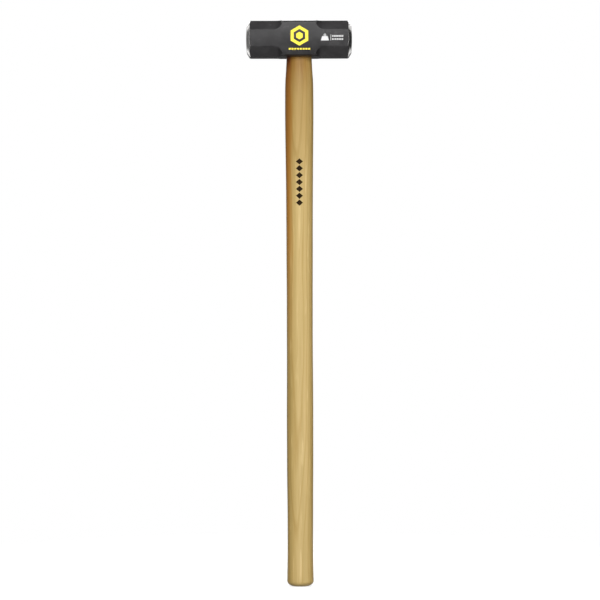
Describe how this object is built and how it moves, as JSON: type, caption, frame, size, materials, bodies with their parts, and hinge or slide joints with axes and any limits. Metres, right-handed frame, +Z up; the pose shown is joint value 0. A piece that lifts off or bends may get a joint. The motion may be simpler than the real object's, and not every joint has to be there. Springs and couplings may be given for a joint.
{
  "type": "sledge hammer",
  "caption": "Double-faced sledge hammer with an octagonal forged steel head on a long straight oval hickory handle, held by a wood wedge and steel wedges.",
  "frame": {"origin": "middle of the handle's butt face", "axes": "+Z up the handle to the head, X along the head from one striking face to the other, Y through the head's depth"},
  "size_m": [0.1686, 0.0588, 0.9],
  "materials": {
    "painted_steel": "satin",
    "hickory": "satin",
    "wedge_wood": "matte",
    "bare_steel": "satin"
  },
  "bodies": {
    "root": {"forged_head": "painted_steel", "hickory_handle": "hickory", "wood_wedge": "wedge_wood", "steel_wedge_left": "bare_steel", "steel_wedge_right": "bare_steel"}
  },
  "joints": []
}
